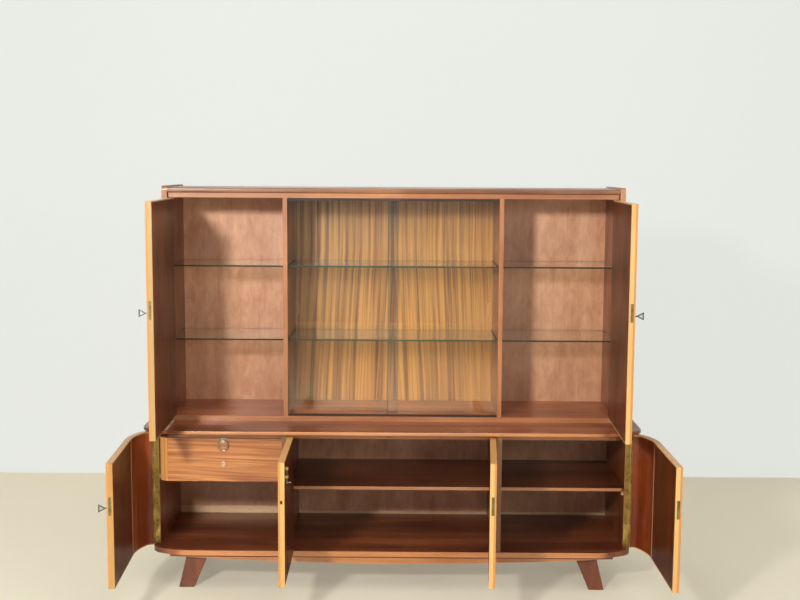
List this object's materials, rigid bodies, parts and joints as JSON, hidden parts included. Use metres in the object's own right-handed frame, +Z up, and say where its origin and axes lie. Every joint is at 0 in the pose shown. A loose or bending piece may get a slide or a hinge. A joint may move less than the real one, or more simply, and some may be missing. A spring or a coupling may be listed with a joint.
{
  "type": "highboard",
  "caption": "Wide wooden highboard with curved end doors, a drawer with a ring pull, and a glazed hutch with sliding panes and glass shelves, standing on splayed legs",
  "frame": {"origin": "on the floor, at the middle of the box around the piece with its doors open", "axes": "+X to the right along the width, +Y to the back, +Z up"},
  "size_m": [1.8952, 0.8698, 1.458],
  "materials": {
    "mahogany_case": "satin lacquer",
    "mahogany_legs": "satin lacquer",
    "mahogany_doors": "gloss lacquer",
    "back_veneer": "satin veneer",
    "zebra_veneer": "striped satin veneer",
    "drawer_veneer": "satin veneer",
    "pale_wood": "plain sanded",
    "maple_lipping": "satin lacquer",
    "glass": "clear with ground edges",
    "track": "waxed grooves",
    "brass": "aged",
    "steel": "dull nickel"
  },
  "bodies": {
    "case": {"lower_top": "mahogany_case", "lower_bottom": "mahogany_case", "lower_sides": "mahogany_case", "lower_dividers": "mahogany_case", "lower_back": "back_veneer", "lower_front_rails": "mahogany_case", "lower_shelves": "mahogany_case", "shelf_pins": "brass", "base_rails": "mahogany_case", "legs": "mahogany_legs", "hutch_sides": "mahogany_case", "hutch_dividers": "mahogany_case", "hutch_bottom": "mahogany_case", "hutch_top": "mahogany_case", "hutch_rail": "mahogany_case", "hutch_side_backs": "back_veneer", "hutch_middle_back": "zebra_veneer", "glass_shelves": "glass", "glass_tracks": "track", "drawer_runners": "mahogany_case", "barrel_bolt_eye": "brass", "hinge_frame_leaves": "brass", "hinge_pins": "steel"},
    "upper_left_door": {"upper_left_door_panel": "mahogany_doors", "upper_left_door_lipping": "maple_lipping", "upper_left_door_hinge_leaf": "brass", "upper_left_lock": "brass"},
    "upper_right_door": {"upper_right_door_panel": "mahogany_doors", "upper_right_door_lipping": "maple_lipping", "upper_right_door_hinge_leaf": "brass", "upper_right_lock": "brass"},
    "end_left_door": {"end_left_door_panel": "mahogany_doors", "end_left_door_lipping": "maple_lipping", "end_left_door_hinge_leaf": "brass", "end_left_lock": "brass"},
    "end_right_door": {"end_right_door_panel": "mahogany_doors", "end_right_door_lipping": "maple_lipping", "end_right_door_hinge_leaf": "brass", "end_right_lock": "brass"},
    "middle_left_door": {"middle_left_door_panel": "mahogany_doors", "middle_left_door_lipping": "maple_lipping", "middle_left_door_hinge_leaf": "brass", "barrel_bolt_guide": "brass"},
    "middle_right_door": {"middle_right_door_panel": "mahogany_doors", "middle_right_door_lipping": "maple_lipping", "middle_right_door_hinge_leaf": "brass", "middle_right_lock": "brass"},
    "upper_left_key": {"upper_left_key": "steel"},
    "upper_left_bolt": {"upper_left_bolt": "steel"},
    "upper_right_key": {"upper_right_key": "steel"},
    "upper_right_bolt": {"upper_right_bolt": "steel"},
    "end_left_key": {"end_left_key": "steel"},
    "end_left_bolt": {"end_left_bolt": "steel"},
    "barrel_bolt_rod": {"barrel_bolt_rod": "steel"},
    "drawer": {"drawer_front": "drawer_veneer", "drawer_box": "pale_wood", "drawer_fittings": "brass"},
    "drawer_pull_ring": {"drawer_pull_ring": "brass"},
    "glass_pane_left": {"glass_pane_left": "glass"},
    "glass_pane_right": {"glass_pane_right": "glass"}
  },
  "joints": [
    {"name": "upper_left_door_hinge", "type": "hinge", "parent": "case", "child": "upper_left_door", "pos_m": [-0.818, 0.117, 0], "axis": [0, 0, -1], "range_deg": [-88.9, 76.1]},
    {"name": "upper_right_door_hinge", "type": "hinge", "parent": "case", "child": "upper_right_door", "pos_m": [0.818, 0.117, 0], "axis": [0, 0, 1], "range_deg": [-88.3, 76.7]},
    {"name": "end_left_door_hinge", "type": "hinge", "parent": "case", "child": "end_left_door", "pos_m": [-0.869, 0.041, 0], "axis": [0, 0, -1], "range_deg": [-87, 63]},
    {"name": "end_right_door_hinge", "type": "hinge", "parent": "case", "child": "end_right_door", "pos_m": [0.869, 0.041, 0], "axis": [0, 0, 1], "range_deg": [-90, 60]},
    {"name": "middle_left_door_hinge", "type": "hinge", "parent": "case", "child": "middle_left_door", "pos_m": [-0.374, -0.037, 0], "axis": [0, 0, -1], "range_deg": [-89.2, 2.8]},
    {"name": "middle_right_door_hinge", "type": "hinge", "parent": "case", "child": "middle_right_door", "pos_m": [0.374, -0.037, 0], "axis": [0, 0, 1], "range_deg": [-86.2, 5.8]},
    {"name": "upper_left_key_turn", "type": "hinge", "parent": "upper_left_door", "child": "upper_left_key", "pos_m": [-0.80741, -0.27837, 1.044], "axis": [0.9998, 0.0192, 0], "range_deg": [0, 90]},
    {"name": "upper_left_bolt_slide", "type": "slide", "parent": "upper_left_door", "child": "upper_left_bolt", "axis": [0.0192, -0.9998, 0], "range_m": [0, 0.0071]},
    {"name": "upper_right_key_turn", "type": "hinge", "parent": "upper_right_door", "child": "upper_right_key", "pos_m": [0.80327, -0.27824, 1.044], "axis": [-0.9996, 0.0297, 0], "range_deg": [0, 90]},
    {"name": "upper_right_bolt_slide", "type": "slide", "parent": "upper_right_door", "child": "upper_right_bolt", "axis": [-0.0297, -0.9996, 0], "range_m": [0, 0.0071]},
    {"name": "end_left_key_turn", "type": "hinge", "parent": "end_left_door", "child": "end_left_key", "pos_m": [-0.92011, -0.4168, 0.42], "axis": [0.9986, 0.0523, 0], "range_deg": [0, 90]},
    {"name": "end_left_bolt_slide", "type": "slide", "parent": "end_left_door", "child": "end_left_bolt", "axis": [0.0523, -0.9986, 0], "range_m": [0, 0.0071]},
    {"name": "barrel_bolt_slide", "type": "slide", "parent": "middle_left_door", "child": "barrel_bolt_rod", "axis": [0, 0, 1], "range_m": [0, 0.012]},
    {"name": "drawer_slide", "type": "slide", "parent": "case", "child": "drawer", "axis": [0, -1, 0], "range_m": [0, 0.3]},
    {"name": "drawer_pull_ring_swing", "type": "hinge", "parent": "drawer", "child": "drawer_pull_ring", "pos_m": [-0.608, 0.0025, 0.546], "axis": [-1, 0, 0], "range_deg": [0, 90]},
    {"name": "glass_pane_left_slide", "type": "slide", "parent": "case", "child": "glass_pane_left", "axis": [1, 0, 0], "range_m": [0, 0.365]},
    {"name": "glass_pane_right_slide", "type": "slide", "parent": "case", "child": "glass_pane_right", "axis": [-1, 0, 0], "range_m": [0, 0.365]}
  ],
  "couplings": [
    {"joint": "upper_left_bolt_slide", "follows": "upper_left_key_turn", "m_per_rad": 0.0044563},
    {"joint": "upper_right_bolt_slide", "follows": "upper_right_key_turn", "m_per_rad": 0.0044563},
    {"joint": "end_left_bolt_slide", "follows": "end_left_key_turn", "m_per_rad": 0.0044563}
  ]
}
